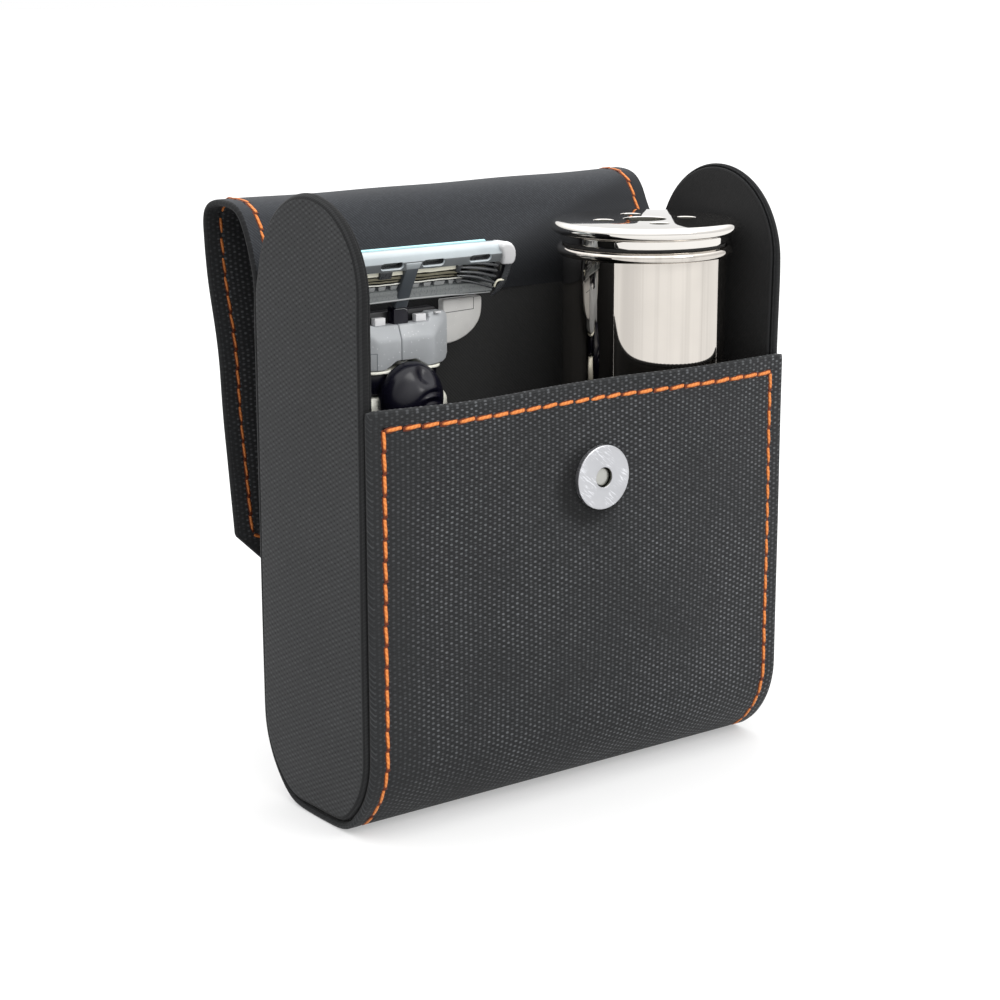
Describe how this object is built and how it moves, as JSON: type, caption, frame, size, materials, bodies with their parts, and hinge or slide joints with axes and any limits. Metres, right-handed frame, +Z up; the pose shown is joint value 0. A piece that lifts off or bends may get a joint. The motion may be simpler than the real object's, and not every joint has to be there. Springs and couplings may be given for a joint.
{
  "type": "razor case",
  "caption": "Soft upright case with rounded ends, an open fold-over flap with a magnetic snap, holding a safety razor and a vented chrome brush canister.",
  "frame": {"origin": "middle of the flat strip on which the rounded bottom stands", "axes": "+Z up, +X to the right of the front pocket seen from the front, -Y towards the front pocket"},
  "size_m": [0.085, 0.049, 0.1002],
  "materials": {
    "nylon": "coarse plain-weave nylon, black",
    "lining": "fine twill lining, black",
    "board": "stiffening board",
    "thread": "orange topstitching thread",
    "snap_metal": "brushed nickel",
    "magnet": "sintered magnet",
    "chrome": "mirror chrome",
    "razor_grey": "satin grey plastic",
    "razor_white": "silver-white plastic",
    "razor_navy": "glossy dark navy plastic",
    "blade_steel": "ground steel",
    "spring_steel": "spring wire",
    "strip": "pale green lubricating strip",
    "guard": "rubber guard",
    "seal": "rubber seal",
    "brush_plastic": "black plastic",
    "bristle": "brush hair"
  },
  "bodies": {
    "case": {"outer_shell": "nylon", "shell_stiffener": "board", "shell_lining": "lining", "left_gusset_outer": "nylon", "left_gusset_board": "board", "left_gusset_lining": "lining", "right_gusset_outer": "nylon", "right_gusset_board": "board", "right_gusset_lining": "lining", "front_stitching": "thread", "snap_socket_cover": "snap_metal", "snap_magnet": "magnet", "snap_socket_rivet": "snap_metal", "snap_socket_washer": "snap_metal"},
    "flap_1": {"flap_strip_1": "nylon"},
    "flap_2": {"flap_strip_2": "nylon"},
    "flap_3": {"flap_strip_3": "nylon"},
    "flap_4": {"flap_strip_4": "nylon"},
    "flap_panel": {"flap_outer_panel": "nylon", "flap_lining_panel": "lining", "flap_stitching": "thread", "snap_stud_plate": "snap_metal", "snap_stud_washer": "snap_metal"},
    "razor": {"razor_handle": "chrome", "handle_end_cap": "chrome", "neck_housing": "razor_navy", "neck_plate": "chrome", "cartridge_connector": "razor_grey", "connector_wings": "razor_white", "button_spring": "spring_steel", "plunger_spring": "spring_steel"},
    "button": {"release_button": "razor_navy"},
    "plunger": {"plunger": "razor_navy"},
    "cartridge": {"cartridge_frame": "razor_white", "cartridge_end_caps": "razor_white", "back_arm": "razor_grey", "upper_blade": "blade_steel", "middle_blade": "blade_steel", "lower_blade": "blade_steel", "lubricating_strip": "strip", "guard_bar": "guard"},
    "canister": {"canister_tube": "chrome", "canister_ring": "chrome", "brush_base": "brush_plastic", "brush_knot": "bristle"},
    "cap_seal": {"cap_seal_ring": "seal"},
    "cap": {"vented_cap": "chrome"}
  },
  "joints": [
    {"name": "flap_bend_1", "type": "hinge", "parent": "case", "child": "flap_1", "pos_m": [0, 0.01575, 0.0849], "axis": [1, 0, 0], "range_deg": [0, 28]},
    {"name": "flap_bend_2", "type": "hinge", "parent": "flap_1", "child": "flap_2", "pos_m": [0, 0.02135, 0.095], "axis": [1, 0, 0], "range_deg": [0, 116]},
    {"name": "flap_fold", "type": "hinge", "parent": "flap_2", "child": "flap_3", "pos_m": [0, 0.03085, 0.095], "axis": [1, 0, 0], "range_deg": [0, 141.3]},
    {"name": "flap_bend_4", "type": "hinge", "parent": "flap_3", "child": "flap_4", "pos_m": [0, 0.02839, 0.08], "axis": [1, 0, 0], "range_deg": [0, 23.9]},
    {"name": "flap_bend_5", "type": "hinge", "parent": "flap_4", "child": "flap_panel", "pos_m": [0, 0.02699, 0.0646], "axis": [1, 0, 0], "range_deg": [0, 58.8]},
    {"name": "razor_lift", "type": "slide", "parent": "case", "child": "razor", "axis": [0, 0, -1], "range_m": [-0.1, 0]},
    {"name": "canister_lift", "type": "slide", "parent": "case", "child": "canister", "axis": [0, 0, -1], "range_m": [-0.1, 0]},
    {"name": "cartridge_tilt", "type": "hinge", "parent": "razor", "child": "cartridge", "pos_m": [-0.0193, 0.0092, 0.0804], "axis": [1, 0, 0], "range_deg": [0, 30], "stiffness_Nm_per_rad": 0.02, "springref_deg": -17.19},
    {"name": "plunger_slide", "type": "slide", "parent": "razor", "child": "plunger", "axis": [0, 0, -1], "range_m": [0, 0.0012], "deforming": ["plunger_spring"]},
    {"name": "button_press", "type": "slide", "parent": "razor", "child": "button", "axis": [0, 0, 1], "range_m": [0, 0.002], "stiffness_N_per_m": 200, "springref_m": -0.0005, "deforming": ["button_spring"]},
    {"name": "seal_rise", "type": "slide", "parent": "canister", "child": "cap_seal", "axis": [0, 0, 1], "range_m": [0, 0.003]},
    {"name": "cap_turn", "type": "hinge", "parent": "cap_seal", "child": "cap", "pos_m": [0.024, -0.001, 0.0922], "axis": [0, 0, -1], "range_deg": [-360, 0]}
  ],
  "couplings": [
    {"joint": "flap_bend_1", "follows": "flap_fold", "ratio": 0.19816},
    {"joint": "flap_bend_2", "follows": "flap_fold", "ratio": 0.82095},
    {"joint": "flap_bend_4", "follows": "flap_fold", "ratio": 0.16914},
    {"joint": "flap_bend_5", "follows": "flap_fold", "ratio": 0.41614},
    {"joint": "plunger_slide", "follows": "cartridge_tilt", "m_per_rad": 0.00229},
    {"joint": "seal_rise", "follows": "cap_turn", "m_per_rad": -0.000477}
  ]
}
